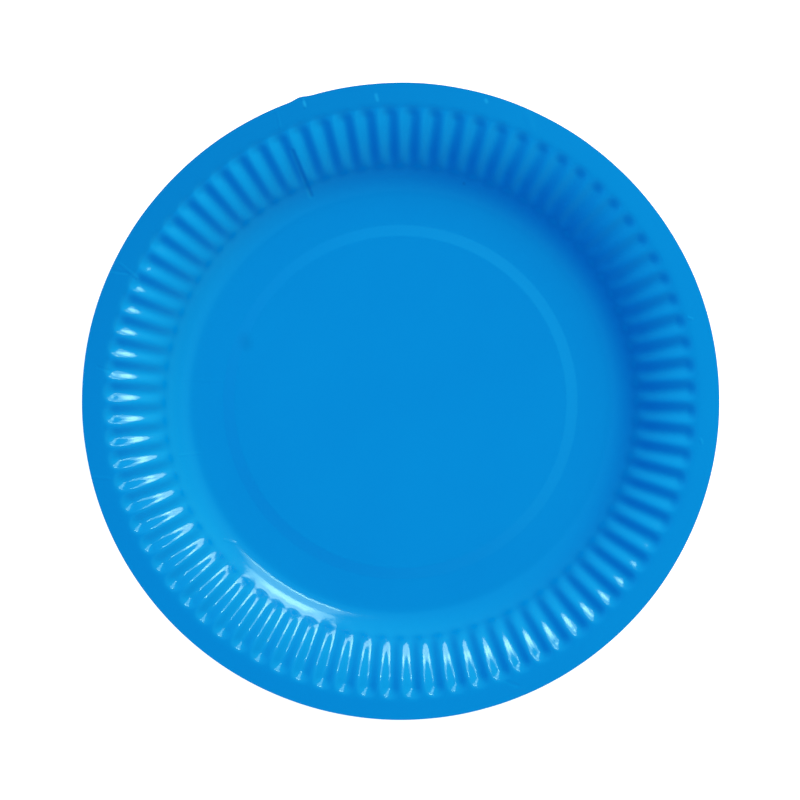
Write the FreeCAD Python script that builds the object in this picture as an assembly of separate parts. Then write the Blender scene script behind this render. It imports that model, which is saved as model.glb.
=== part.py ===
"""A stack of round paper plates with fluted walls, nested one in the next.

Each plate is pressed from one flat disc of board: a centre raised a little above the
ring that it stands on, a wall that bends up and then over, short flutes pressed into
the wall all round, and a plain rim that is nearly flat out to its cut edge.

Millimetres. +Z is up, and the origin is where the stack's axis meets the table.
"""
import FreeCAD
import Part
import math
import os

# The stack
plate_count = 8
nest_gap = 0.12  # clear space between two walls, square to the board

# The board
board_thickness = 0.4

# The plate's outline and wall, on its upper face
plate_diameter = 230.0
plate_depth = 15.0  # from the floor up to the highest line of the rim
rim_width = 7.0  # from that highest line out to the cut edge
wall_slope = 48.5  # degrees, where the wall is steepest
floor_bend_radius = 14.5  # hollow bend between the floor and the wall
rim_droop = 2.0  # degrees, from the end of the rim's bend out to the cut edge

# The flutes, straight towards the centre
flute_count = 80
flute_depth = 1.6  # from a ridge down to the groove beside it
flute_end_inset = 1.2  # from the rim's highest line in to the end of a groove
flute_end_width = 3.3  # width of the short wall that closes a groove's outer end

# The floor
ring_width = 10.2  # flat ring that the plate stands on
centre_lift = 0.6  # height of the centre above the ring
step_width = 5.4  # width of the slope between the two

# Worked out from the sizes above
half_pitch = 180.0 / flute_count
steepest = math.radians(wall_slope)
crest_radius = plate_diameter / 2 - rim_width
rim_bend_radius = plate_depth / (1 - math.cos(steepest)) - floor_bend_radius
floor_radius = crest_radius - (floor_bend_radius + rim_bend_radius) * math.sin(steepest)
groove_end_radius = crest_radius - flute_end_inset
groove_foot_radius = groove_end_radius - flute_end_width
step_outer_radius = floor_radius - ring_width
step_inner_radius = step_outer_radius - step_width
droop = math.radians(rim_droop)
flat_start_radius = crest_radius + rim_bend_radius * math.sin(droop)
flat_length = (plate_diameter / 2 - flat_start_radius) / math.cos(droop)

# Two nested walls are nearest where the wall's own slope and a flute's side add up
flute_side_slope = flute_depth / (math.radians(half_pitch) * groove_foot_radius)
nest_slope = math.atan(math.hypot(math.tan(steepest), flute_side_slope))
nest_pitch = (board_thickness + nest_gap) / math.cos(nest_slope)


def at(radius, height, azimuth):
    """The point at a radius and a height, on the half plane at an azimuth in degrees."""
    turn = math.radians(azimuth)
    return FreeCAD.Vector(radius * math.cos(turn), radius * math.sin(turn), height)


def rim_bend_slope(radius):
    """The slope of the rim bend at a radius: up towards the rim is positive."""
    return math.asin((crest_radius - radius) / rim_bend_radius)


def floor_bend(slope, below, azimuth):
    """A point of the floor bend. below is the distance under the upper face."""
    reach = floor_bend_radius + below
    return at(
        floor_radius + reach * math.sin(slope),
        floor_bend_radius - reach * math.cos(slope),
        azimuth,
    )


def rim_bend(slope, below, azimuth, sunk=0.0):
    """A point of the rim bend, or the point of a groove that is sunk under it."""
    reach = rim_bend_radius - below
    return at(
        crest_radius - reach * math.sin(slope),
        plate_depth - rim_bend_radius + reach * math.cos(slope) - sunk,
        azimuth,
    )


def cut_edge(slope, below, azimuth):
    """A point of the cut edge, where the flat that leaves the rim bend at a slope ends."""
    flat = at(flat_length * math.cos(slope), flat_length * math.sin(slope), azimuth)
    return rim_bend(slope, below, azimuth) + flat


def arc(curve, start, end, *where):
    """An arc from one slope to another, through the slope halfway."""
    stops = (start, (start + end) / 2, end)
    return Part.Arc(*(curve(slope, *where) for slope in stops)).toShape()


# The slopes at which the wall's stretches meet, from the floor out to the rim's flat
foot_slope = rim_bend_slope(groove_foot_radius)
end_slope = rim_bend_slope(groove_end_radius)
flat_slope = -droop


def facet(*points):
    """A flat face with these corners."""
    return Part.Face(Part.makePolygon(points + points[:1]))


def half_flute_faces(below, ridge, groove):
    """One face of the wall and rim from a ridge to the groove beside it, given the
    azimuths of the two. The groove leaves the wall where that is steepest, runs
    flute_depth under the ridges, and ends at a small sloping facet."""
    middle_slope = (steepest + foot_slope) / 2
    groove_start = rim_bend(steepest, below, groove)
    groove_middle = rim_bend(middle_slope, below, groove, flute_depth)
    groove_foot = rim_bend(foot_slope, below, groove, flute_depth)
    groove_end = rim_bend(end_slope, below, groove)
    ridge_foot = rim_bend(foot_slope, below, ridge)
    ridge_end = rim_bend(end_slope, below, ridge)
    return [
        Part.makeRuledSurface(
            arc(floor_bend, 0.0, steepest, below, ridge),
            arc(floor_bend, 0.0, steepest, below, groove),
        ),
        Part.makeRuledSurface(
            arc(rim_bend, steepest, foot_slope, below, ridge),
            Part.Arc(groove_start, groove_middle, groove_foot).toShape(),
        ),
        facet(ridge_foot, ridge_end, groove_foot),
        facet(groove_foot, ridge_end, groove_end),
        Part.makeRuledSurface(
            arc(rim_bend, end_slope, flat_slope, below, ridge),
            arc(rim_bend, end_slope, flat_slope, below, groove),
        ),
        facet(
            rim_bend(flat_slope, below, ridge),
            cut_edge(flat_slope, below, ridge),
            cut_edge(flat_slope, below, groove),
            rim_bend(flat_slope, below, groove),
        ),
    ]


def wall_faces(below):
    """One face of the wall and rim, all the way round."""
    faces = []
    for k in range(flute_count):
        ridge = 2 * k * half_pitch
        for groove in (ridge - half_pitch, ridge + half_pitch):
            faces += half_flute_faces(below, ridge, groove % 360)
    return faces


def corners(curve, slope, below):
    """The closed outline through one point of each ridge and groove."""
    points = [curve(slope, below, k * half_pitch) for k in range(2 * flute_count)]
    return points + points[:1]


def floor_faces(below):
    """One face of the floor: the ring, the step, and the raised centre."""
    rim = Part.makePolygon(corners(floor_bend, 0.0, below))
    circle = Part.makeCircle(step_outer_radius, at(0.0, -below, 0.0))
    ring = Part.Face([rim, Part.Wire(circle)])
    ring.validate()
    section = Part.makePolygon([
        at(0.0, centre_lift - below, 0.0),
        at(step_inner_radius, centre_lift - below, 0.0),
        at(step_outer_radius, -below, 0.0),
    ])
    centre = section.revolve(at(0.0, 0.0, 0.0), FreeCAD.Vector(0, 0, 1), 360)
    return [ring] + centre.Faces


def cut_edge_faces():
    """The cut edge of the board, square to the rim."""
    upper = corners(cut_edge, flat_slope, 0.0)
    lower = corners(cut_edge, flat_slope, board_thickness)
    pairs = list(zip(upper, lower))
    return [facet(a, b, d, c) for (a, c), (b, d) in zip(pairs, pairs[1:])]


def make_plate():
    """One plate, closed all round, with the underside of its ring on the table."""
    faces = cut_edge_faces()
    for below in (0.0, board_thickness):
        faces += floor_faces(below) + wall_faces(below)
    skin = Part.makeCompound(faces)
    skin.sewShape()
    plate = Part.makeSolid(skin.Shells[0])
    if plate.Volume < 0:
        plate.reverse()
    plate.translate(FreeCAD.Vector(0, 0, board_thickness))
    return plate


os.makedirs("parts", exist_ok=True)
plate = make_plate()
print("volume", plate.Volume, "closed", plate.isClosed(), "valid", plate.isValid())
print("nest pitch", nest_pitch, "bend", rim_bend_radius, "floor", floor_radius)
for number in range(plate_count):
    nested = plate.copy()
    nested.translate(FreeCAD.Vector(0, 0, number * nest_pitch))
    nested.exportStep(f"parts/plate_{number + 1}.step")
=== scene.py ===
import math

import bmesh
import bpy
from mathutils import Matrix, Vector, noise


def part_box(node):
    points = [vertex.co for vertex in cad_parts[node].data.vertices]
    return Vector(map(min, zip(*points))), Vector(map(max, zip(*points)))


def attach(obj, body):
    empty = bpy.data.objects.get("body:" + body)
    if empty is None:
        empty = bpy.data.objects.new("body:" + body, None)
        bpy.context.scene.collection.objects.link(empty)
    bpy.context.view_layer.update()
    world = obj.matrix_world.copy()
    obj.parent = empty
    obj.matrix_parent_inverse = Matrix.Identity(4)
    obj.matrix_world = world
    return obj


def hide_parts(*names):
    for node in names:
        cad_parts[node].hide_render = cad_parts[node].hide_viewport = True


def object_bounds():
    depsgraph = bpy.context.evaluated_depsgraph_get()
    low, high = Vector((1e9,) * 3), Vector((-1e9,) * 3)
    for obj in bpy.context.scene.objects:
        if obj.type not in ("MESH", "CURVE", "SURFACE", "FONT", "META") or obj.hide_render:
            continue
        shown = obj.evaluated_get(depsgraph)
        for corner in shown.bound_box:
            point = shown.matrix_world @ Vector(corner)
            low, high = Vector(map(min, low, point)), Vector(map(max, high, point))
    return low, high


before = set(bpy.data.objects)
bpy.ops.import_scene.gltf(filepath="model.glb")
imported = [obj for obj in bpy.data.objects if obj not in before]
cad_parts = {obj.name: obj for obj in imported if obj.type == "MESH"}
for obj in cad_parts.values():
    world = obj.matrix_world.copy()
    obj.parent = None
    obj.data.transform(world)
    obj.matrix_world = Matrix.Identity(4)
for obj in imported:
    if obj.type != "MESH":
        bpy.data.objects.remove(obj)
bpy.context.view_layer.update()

low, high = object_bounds()

# The camera hangs straight over the stack, on a long lens, as the product picture was taken. The
# plate's outline fills 638 of the picture's 800 pixels, and its axis is a hair off the middle.
picture_pixels = 800.0
outline_pixels = 637.7
axis_in_picture = (400.4, 402.0)
flutes_turned = math.radians(0.2)
pixel = (high.x - low.x) / outline_pixels

camera_data = bpy.data.cameras.new("camera")
camera_data.lens = 200
camera_data.sensor_width = 36
camera_data.clip_start = 0.05
camera_data.clip_end = 20
camera = bpy.data.objects.new("camera", camera_data)
bpy.context.collection.objects.link(camera)
camera.location = (
    (picture_pixels / 2 - axis_in_picture[0]) * pixel,
    (axis_in_picture[1] - picture_pixels / 2) * pixel,
    high.z + pixel * picture_pixels * camera_data.lens / camera_data.sensor_width,
)
camera.rotation_euler.z = -flutes_turned
bpy.context.scene.camera = camera
bpy.context.scene.view_settings.view_transform = "Standard"

# The plates are pressed from flat discs of board, all in one die, so they share one section: a
# raised centre, the ring that they stand on, a wall of two bends, and a rim that is nearly flat.
# The section is drawn as a line that is bent round the centre of each bend in turn.
board = 0.0004
crest_radius = 0.108
wall_depth = 0.015
steepest = math.radians(48.5)
floor_bend = 0.0145
rim_bend = wall_depth / (1 - math.cos(steepest)) - floor_bend
floor_radius = crest_radius - (floor_bend + rim_bend) * math.sin(steepest)
edge_slope = math.radians(2)
ring_width = 0.0098
step_outer = floor_radius - ring_width
step_lift = 0.0006
step_slope = math.radians(8.2)
step_bend = 0.005
step_run = step_lift / math.sin(step_slope) - 2 * step_bend * math.tan(step_slope / 2)
step_inner = step_outer - step_run * math.cos(step_slope) - 2 * step_bend * math.sin(step_slope)

# The section's points along the flat centre, as radii, and along the rim's flat, as shares of its
# width. Then each bend's centre, as a radius and a height, and how far the board turns there.
centre_rings = (0.02, 0.034, 0.047)
rim_stops = (0.35, 0.7, 1.0)
bend_centres = [
    (step_inner, step_lift - step_bend, step_slope),
    (step_outer, step_bend, -step_slope),
    (floor_radius, floor_bend, -steepest),
    (crest_radius, wall_depth - rim_bend, steepest + edge_slope),
]


def bend(section, pen, centre, turn, steps):
    """Carries the section's last point round a centre, and returns the new last point."""
    made = bmesh.ops.spin(
        section, geom=[pen], cent=(centre[0], 0, centre[1]), axis=(0, 1, 0), angle=turn, steps=steps
    )
    return [v for v in made["geom_last"] if isinstance(v, bmesh.types.BMVert)][0]


def line(section, pen, x, z):
    """Draws the section on in a straight line, and returns the new last point."""
    made = bmesh.ops.extrude_vert_indiv(section, verts=[pen])["verts"][0]
    made.co = (x, 0, z)
    return made


def draw_section(section, upper_steps, lower_steps):
    """The board's section, from the centre out along its upper face and back under it."""
    pen = section.verts.new((centre_rings[0], 0, step_lift))
    for ring in (*centre_rings[1:], step_inner):
        pen = line(section, pen, ring, step_lift)
    run = Vector((math.cos(step_slope), 0, -math.sin(step_slope))) * step_run
    for centre, steps in zip(bend_centres, upper_steps):
        if centre[0] == step_outer:
            pen = line(section, pen, *(pen.co + run).xz)
        if centre[0] == floor_radius:
            pen = line(section, pen, (step_outer + floor_radius) / 2, 0)
            pen = line(section, pen, floor_radius, 0)
        pen = bend(section, pen, centre, centre[2], steps)
    flat = high.x - pen.co.x
    slant = Vector((1, 0, -math.tan(edge_slope)))
    under = Vector((-math.sin(edge_slope), 0, -math.cos(edge_slope))) * board
    for stop in rim_stops:
        radius = high.x - flat * (1 - stop)
        pen = line(section, pen, *(pen.co + slant * (radius - pen.co.x)).xz)
    pen = line(section, pen, *(pen.co + under).xz)
    pen = line(section, pen, *(pen.co - slant * flat).xz)
    for centre, steps in reversed(list(zip(bend_centres, lower_steps))):
        pen = bend(section, pen, centre, -centre[2], steps)
        if centre[0] == floor_radius:
            pen = line(section, pen, step_outer, -board)
        if centre[0] == step_outer:
            pen = line(section, pen, *(pen.co - run).xz)
    line(section, pen, centre_rings[0], step_lift - board)


# Eighty flutes are pressed into the wall. Each groove leaves the wall low down with a round inner
# end, gets deeper as it runs out under the rim, and stops at a short steep end wall. Ridges and
# grooves are round and equally wide, so the wall waves like a piecrust.
flute_count = 80
inner_depth = 0.0012
outer_depth = 0.0014
deepening = (0.088, 0.103)
groove_start = (0.0823, 0.0920)
groove_end = (0.1032, 0.1086)
end_wall_lean = 0.8


def ease(t):
    """A smooth climb from 0 to 1."""
    t = min(max(t, 0.0), 1.0)
    return t * t * t * (10 - 15 * t + 6 * t * t)


def fade(r, span):
    """A smooth climb from 0 to 1 as a radius crosses a span."""
    return ease((r - span[0]) / (span[1] - span[0]))


def groove(r, turn):
    """How far the board is pressed down at a radius and an angle."""
    wave = (1 - math.cos(flute_count * turn)) / 2
    depth = inner_depth + (outer_depth - inner_depth) * fade(r, deepening)
    end = max((r - groove_end[0]) / (groove_end[1] - groove_end[0]), 0.0)
    return depth * wave * fade(r, groove_start) * (1 - ease(end**end_wall_lean))


# Board is never quite flat or cut quite true. Each rim waves a little in its own way, each centre
# sags a little more than the one below it, and the cut edges don't line up. The top plate's cut
# lies a little off centre, and has the small bump that the picture shows at the top left.
centre_sag = 0.0001
sag_radius = 0.058
rim_start = 0.1015
rim_wave = 0.00024
rim_wave_length = 0.06
cut_slack = 0.00018
cut_wave_length = 0.09
cut_seed = 40
top_cut = Vector((0.0001, 0.0003))
top_cut_start = 0.1075
top_wave = 0.0001
top_wave_length = 0.02
top_seed = 3
bump_turn = math.radians(108.2)
bump_width = math.radians(1.3)
bump_height = 0.0006
seed_gap = 7.3


def wander(seed, point, size):
    """Smooth noise between about -1 and 1 that changes over a distance of size."""
    return noise.noise(Vector((point.x / size, point.y / size, seed * seed_gap)))


def settle(v, number, top):
    """Moves one point of a plate from the true pressed shape to where this board has it."""
    r, turn = math.hypot(v.co.x, v.co.y), math.atan2(v.co.y, v.co.x)
    out = fade(r, (rim_start, high.x))
    sag = number * centre_sag * (1 - min(r / sag_radius, 1.0) ** 2)
    lift = out * rim_wave * wander(number, v.co, rim_wave_length)
    grow = out * cut_slack * (wander(number + cut_seed, v.co, cut_wave_length) - 1)
    shift = Vector((0.0, 0.0))
    if top:
        grow = out * top_wave * wander(top_seed, v.co, top_wave_length)
        grow += out * bump_height * math.exp(-((turn - bump_turn) / bump_width) ** 2)
        shift = top_cut * fade(r, (top_cut_start, high.x))
    v.co.x += grow * math.cos(turn) + shift.x
    v.co.y += grow * math.sin(turn) + shift.y
    v.co.z = v.co.z - sag + lift


def as_object(name, bm):
    """Turns a finished shape into an object of the scene."""
    mesh = bpy.data.meshes.new(name)
    bm.to_mesh(mesh)
    bm.free()
    made = bpy.data.objects.new(name, mesh)
    bpy.context.collection.objects.link(made)
    return made


# How finely a plate is divided: across one flute, and round the section's four bends on its upper
# and on its lower face. The top plate, which is the one in full view, is the finest.
fine_steps = (12, (4, 4, 12, 40), (2, 2, 5, 14))
plain_steps = (8, (2, 2, 6, 20), (2, 2, 5, 12))

# Points nearer than same_point are merged. A face whose normal rises by more than least_rise is
# printed, and an edge is shaded crisp where the board turns by more than crisp_edge.
same_point = 1e-6
least_rise = 0.3
crisp_edge = math.radians(35)


def make_plate(node, number, flute_steps, upper_steps, lower_steps, top):
    """One plate in the place of its node: the section turned through one flute, the flute
    pressed in, and that slice repeated all round."""
    bm = bmesh.new()
    draw_section(bm, upper_steps, lower_steps)
    axis = {"cent": (0, 0, 0), "axis": (0, 0, 1)}
    pitch = math.tau / flute_count
    section = bm.verts[:] + bm.edges[:]
    bmesh.ops.spin(bm, geom=section, angle=pitch, steps=flute_steps, **axis)
    for v in bm.verts:
        v.co.z -= groove(v.co.xy.length, math.atan2(v.co.y, v.co.x))
    piece = bm.verts[:] + bm.edges[:] + bm.faces[:]
    bmesh.ops.spin(
        bm, geom=piece, angle=math.tau - pitch, steps=flute_count - 1, use_duplicate=True, **axis
    )
    bmesh.ops.remove_doubles(bm, verts=bm.verts[:], dist=same_point)
    bmesh.ops.holes_fill(bm, edges=[e for e in bm.edges if e.is_boundary], sides=0)
    bmesh.ops.recalc_face_normals(bm, faces=bm.faces[:])
    for face in bm.faces:
        face.smooth = True
        face.material_index = 0 if face.normal.z > least_rise else 1
    for edge in bm.edges:
        edge.smooth = edge.calc_face_angle(0.0) < crisp_edge
    for v in bm.verts:
        settle(v, number, top)
    bmesh.ops.translate(bm, verts=bm.verts[:], vec=(0, 0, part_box(node)[0].z + board))
    return as_object(node + "_board", bm)


plate_nodes = sorted(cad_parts, key=lambda node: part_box(node)[0].z)
plates = []
for number, node in enumerate(plate_nodes):
    top = node == plate_nodes[-1]
    plate = make_plate(node, number, *(fine_steps if top else plain_steps), top)
    plates.append(plate)
    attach(plate, "root")
    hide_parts(node)

# The upper face is printed a strong blue and varnished. The varnish is smooth and tight, so it
# mirrors the lamps in sharp streaks, and it hardly mirrors anything in the red.


class Wire:
    """A socket that can be added, multiplied and so on, which adds the Math nodes."""

    def __init__(self, finish, socket):
        self.finish, self.socket = finish, socket

    def _math(self, operation, first, second):
        return self.finish.node("ShaderNodeMath", {"operation": operation}, {0: first, 1: second})

    def __add__(self, other):
        return self._math("ADD", self, other)

    def __sub__(self, other):
        return self._math("SUBTRACT", self, other)

    def __rsub__(self, other):
        return self._math("SUBTRACT", other, self)

    def __mul__(self, other):
        return self._math("MULTIPLY", self, other)

    def __truediv__(self, other):
        return self._math("DIVIDE", self, other)

    def __rtruediv__(self, other):
        return self._math("DIVIDE", other, self)

    def __pow__(self, other):
        return self._math("POWER", self, other)

    def __rpow__(self, other):
        return self._math("POWER", other, self)

    __radd__, __rmul__ = __add__, __mul__


class Finish:
    """The nodes of a material or of the surround, with one method that adds any node."""

    def __init__(self, owner, shader="Principled BSDF"):
        owner.use_nodes = True
        self.owner, self.tree = owner, owner.node_tree
        self.shader = self.tree.nodes[shader]

    def node(self, kind, settings=None, inputs=None, output=0):
        made = self.tree.nodes.new(kind)
        for name, value in (settings or {}).items():
            setattr(made, name, value)
        self.feed(made, inputs or {})
        return Wire(self, made.outputs[output])

    def feed(self, made, inputs):
        for name, value in inputs.items():
            if isinstance(value, Wire):
                self.tree.links.new(value.socket, made.inputs[name])
            else:
                made.inputs[name].default_value = value

    def place(self):
        return self.node("ShaderNodeTexCoord", output="Object")

    def noise(self, size, detail=2.0, rough=0.5):
        return self.node(
            "ShaderNodeTexNoise", {},
            {"Vector": self.place(), "Scale": 1 / size, "Detail": detail, "Roughness": rough},
        )

    def colours(self, factor, first, second):
        mix = {"data_type": "RGBA", "clamp_factor": True}
        return self.node("ShaderNodeMix", mix, {0: factor, 6: first, 7: second}, output=2)

    def vector(self, operation, inputs, output="Vector"):
        return self.node("ShaderNodeVectorMath", {"operation": operation}, inputs, output)

    def dot(self, first, second):
        return self.vector("DOT_PRODUCT", {0: first, 1: second}, "Value")

    def climb(self, value, start, end, kind="SMOOTHSTEP"):
        """0 before a value reaches start, 1 once it is past end, and a climb between them."""
        limits = {"Value": value, "From Min": start, "From Max": end}
        return self.node("ShaderNodeMapRange", {"interpolation_type": kind}, limits)

    def beside(self, start, end, width):
        """1 along a line between two points of the plate, fading to 0 at a width from it."""
        start, along = Vector((*start, 0)), Vector((end[0] - start[0], end[1] - start[1], 0))
        flat = self.vector("MULTIPLY", {0: self.place(), 1: (1, 1, 0)})
        way = self.vector("SUBTRACT", {0: flat, 1: start})
        share = self.dot(way, along / along.length_squared)
        share = self.node("ShaderNodeClamp", {}, {"Value": share})
        foot = self.vector("SCALE", {0: along, "Scale": share})
        gap = self.vector("DISTANCE", {0: way, 1: foot}, "Value")
        return self.climb(gap, width, 0.0)

    def marks(self, places):
        """Marks along lines: from where, to where, how wide, and how strong."""
        return sum(self.beside(start, end, width) * strong for start, end, width, strong in places)

    def bump(self, height, distance):
        inputs = {"Height": height, "Distance": distance, "Strength": 1.0}
        return self.node("ShaderNodeBump", {}, inputs)


def heading(azimuth, zenith=90.0):
    """The direction at an angle round from +X and an angle from straight up, in degrees."""
    turn, fall = math.radians(azimuth), math.radians(zenith)
    flat = math.sin(fall)
    return Vector((math.cos(turn) * flat, math.sin(turn) * flat, math.cos(fall)))


blue = (0.0, 0.244, 0.655, 1)
pale_blue = (0.0, 0.254, 0.665, 1)
deep_blue = (0.0, 0.234, 0.645, 1)
# Darker blue for the stains and for the painted shade.
stain_and_shade_blue = (0.0, 0.17, 0.52, 1)
# Paler blue for the painted highlights on the rim.
highlight_blue = (0.01, 0.38, 0.78, 1)

# The print is a little blotchy and has a fine grain. The varnish over it has a soft peel, the
# grain shows through faintly, and its gloss drifts with the blotches.
blotch_low, blotch_gain = 0.35, 1.8
grain_low, grain_gain, plain_share = 0.3, 0.35, 0.25
grain_relief = 0.2
varnish_relief = 0.000012
gloss, gloss_drift = 0.11, 0.05

# Painted shade: the blue is darkened over the rim, most of all on its upper left side, standing in
# for the shade that falls there.
shaded_side = heading(125)
shaded_side_power = 3.0
rim_shade = (0.1078, 0.1088)
rim_shade_share = 0.6

# The plate has been handled, so it has a few fine folds, mostly across the rim: from where to
# where in metres from the axis, how wide, and how high, with a minus where it is pressed in.
fold_height = 5.0
folds = [
    ((-0.0385, 0.0907), (-0.0322, 0.0752), 0.0013, -3.0),
    ((-0.0352, 0.1100), (-0.0340, 0.1064), 0.0008, 1.2),
    ((-0.0444, 0.1055), (-0.0430, 0.0990), 0.0009, 0.7),
    ((-0.1010, 0.0502), (-0.0950, 0.0452), 0.0010, 1.2),
    ((-0.1040, 0.0478), (-0.0985, 0.0468), 0.0010, -1.2),
    ((-0.1090, 0.0130), (-0.1040, 0.0112), 0.0010, -0.9),
    ((-0.1110, -0.0268), (-0.1055, -0.0272), 0.0010, 0.8),
    ((-0.0823, 0.0085), (-0.0651, 0.0078), 0.0007, 0.4),
    ((-0.0800, -0.0192), (-0.0728, -0.0184), 0.0008, 0.7),
    ((-0.0640, -0.0500), (-0.0600, -0.0512), 0.0008, 0.7),
    ((0.0378, -0.1010), (0.0420, -0.1025), 0.0011, -1.0),
    ((0.0400, -0.1040), (0.0440, -0.1035), 0.0011, 0.9),
    ((0.0462, 0.1030), (0.0476, 0.0985), 0.0022, 0.8),
    ((0.1040, 0.0300), (0.1052, 0.0296), 0.0008, 1.2),
    ((0.1082, -0.0140), (0.1086, -0.0152), 0.0009, 1.2),
]

# A faint stain and a speck show darker, the deepest fold's crease is darkened with painted shade,
# and three short painted highlights on the rim show paler: from where to where, how wide, and how
# much of the other blue shows.
stains_and_crease_shade = [
    ((-0.0565, 0.0228), (-0.0560, 0.0212), 0.0042, 0.35),
    ((0.0233, 0.0794), (0.0235, 0.0792), 0.0009, 0.7),
    # Painted shade: the deepest fold's crease is darkened.
    (*folds[0][:2], 0.0011, 0.5),
]
painted_rim_highlights = [
    ((-0.0084, 0.1108), (-0.0079, 0.1090), 0.0011, 0.5),
    ((-0.0345, 0.1082), (-0.0342, 0.1073), 0.0011, 0.5),
    ((0.0312, 0.1088), (0.0315, 0.1082), 0.0011, 0.5),
]


def varnished_blue():
    coat = Finish(bpy.data.materials.new("varnished_blue"))
    blotches = coat.noise(size=0.035, detail=3.0, rough=0.55)
    grain = coat.noise(size=0.0011, rough=0.6)
    peel = coat.noise(size=0.0028)
    reach = coat.vector("LENGTH", {0: coat.place()}, "Value")
    rim = coat.climb(reach, *rim_shade, kind="LINEAR")
    side = coat.dot(coat.place(), shaded_side) / reach * 0.5 + 0.5
    tone = coat.colours((blotches - blotch_low) * blotch_gain, deep_blue, pale_blue)
    tone = coat.colours((grain - grain_low) * grain_gain + plain_share, tone, blue)
    # Darker marks: a stain and a speck, and painted shade along the deepest fold.
    tone = coat.colours(coat.marks(stains_and_crease_shade), tone, stain_and_shade_blue)
    # Painted shade: the rim is darkened, most of all on its upper left side.
    tone = coat.colours(rim * side**shaded_side_power * rim_shade_share, tone, stain_and_shade_blue)
    # Painted highlights: three short pale marks on the rim.
    tone = coat.colours(coat.marks(painted_rim_highlights), tone, highlight_blue)
    surface = peel + grain * grain_relief + coat.marks(folds) * fold_height
    coat.feed(coat.shader, {
        "Base Color": tone,
        "Roughness": gloss + (blotches - 0.5) * gloss_drift,
        "Specular IOR Level": 0.7,
        "Specular Tint": (0.2, 0.9, 1.0, 1),
        "Normal": coat.bump(surface, varnish_relief),
    })
    return coat.owner


# The underside and the cut edge are bare white board: matt, faintly warm and a little cloudy,
# with the fine relief of its fibre.
pale_cloud = (0.88, 0.87, 0.85, 1)
grey_cloud = (0.80, 0.79, 0.76, 1)
fibre_share, cloud_share = 0.6, 0.4
board_relief = 0.00004


def bare_board():
    bare = Finish(bpy.data.materials.new("bare_board"))
    cloud = bare.noise(size=0.004, detail=4.0, rough=0.6)
    fibre = bare.noise(size=0.0004, rough=0.7)
    bare.feed(bare.shader, {
        "Base Color": bare.colours(cloud, grey_cloud, pale_cloud),
        "Roughness": 0.82,
        "Specular IOR Level": 0.3,
        "Normal": bare.bump(fibre * fibre_share + cloud * cloud_share, board_relief),
    })
    return bare.owner


blue_face, white_face = varnished_blue(), bare_board()
for plate in plates:
    plate.data.materials.append(blue_face)
    plate.data.materials.append(white_face)

# The stage is a plain white table. It gives off light of its own, so that it comes out as evenly
# white as the ground of the picture.
stage_radius = 12.0
stage_segments = 96
table = Finish(bpy.data.materials.new("white_table"))
table.feed(table.shader, {
    "Base Color": (0.5, 0.5, 0.5, 1), "Roughness": 0.9, "Specular IOR Level": 0.0,
    "Emission Color": (1.06, 1.0, 1.0, 1), "Emission Strength": 0.78,
})
disc = bmesh.new()
bmesh.ops.create_circle(disc, cap_ends=True, segments=stage_segments, radius=stage_radius)
floor = as_object("floor", disc)
floor.data.materials.append(table.owner)

# A wall stands round the table, far off, so that a low view ends in the same white. It is there
# for the camera alone: the room's light comes in through it.
wall_height = 10.0
tube = bmesh.new()
bmesh.ops.create_cone(
    tube, segments=stage_segments, radius1=stage_radius, radius2=stage_radius, depth=wall_height
)
bmesh.ops.translate(tube, verts=tube.verts[:], vec=(0, 0, wall_height / 2))
wall = as_object("wall", tube)
wall.visible_diffuse = False
wall.visible_glossy = False
wall.visible_shadow = False
wall.data.materials.append(table.owner)

# The lamps stand to the upper right of the picture. A large soft box is low beside the stack,
# with a bright middle, a fainter glow lies above it, and a narrow strip hangs higher still.
lamp_azimuth = 60
lamp_distance = 3.0
lamp_colour = (2.5, 1.0, 0.68)


def lamp(name, zenith, half_width, radiance):
    """A lamp that faces the middle of the stack. It reaches from one angle from straight up to
    another, and as far as half_width to each side, in degrees."""
    data = bpy.data.lights.new(name, "AREA")
    data.shape = "RECTANGLE"
    data.size = 2 * lamp_distance * math.tan(math.radians(half_width))
    data.size_y = 2 * lamp_distance * math.tan(math.radians(zenith[1] - zenith[0]) / 2)
    data.energy = math.pi * data.size * data.size_y * radiance
    data.color = lamp_colour
    light = bpy.data.objects.new(name, data)
    bpy.context.collection.objects.link(light)
    away = heading(lamp_azimuth, (zenith[0] + zenith[1]) / 2)
    light.location = away * lamp_distance
    light.rotation_euler = away.to_track_quat("Z", "Y").to_euler()
    light.visible_camera = False


lamp("soft_box", (51, 80), 10.5, 5.2)
lamp("bright_middle", (53, 68), 6.0, 6.0)
lamp("upper_glow", (31, 51), 9.0, 2.6)
lamp("strip", (28.9, 30.3), 7.0, 24.0)

# The room's own light comes from all round: dim and blue from the far side, and bright from the
# lamps' side. It is held back straight overhead, where the camera hangs, low down towards the
# table, and behind a flag on the right, where the varnish mirrors less of it in the picture.
near_side = heading(33)
near_light = (0.5, 1.58, 1.28, 1)
far_light = (0.04, 0.07, 0.62, 1)
overhead_zenith, overhead_shade = (19, 5), 0.38
skirt_zenith, skirt_shade = (70, 90), 0.55
flag_middle, flag_reach, flag_shade = heading(-5, 67.56), (38.4, 13), 0.32


def cosines(angles):
    """The cosine of each angle, in degrees."""
    return [math.cos(math.radians(angle)) for angle in angles]


world = bpy.data.worlds.new("surround")
bpy.context.scene.world = world
sky = Finish(world, "Background")
way = sky.node("ShaderNodeTexCoord", output="Generated")
height = sky.dot(way, heading(0, 0))
near = sky.dot(way, near_side) * 0.5 + 0.5
overhead = sky.climb(height, *cosines(overhead_zenith))
skirt = sky.climb(height, *cosines(skirt_zenith))
flag = sky.climb(sky.dot(way, flag_middle), *cosines(flag_reach))
sky.feed(sky.shader, {
    "Color": sky.colours(near, far_light, near_light),
    "Strength": (1.0 - overhead * overhead_shade - skirt * skirt_shade) * (1.0 - flag * flag_shade),
})
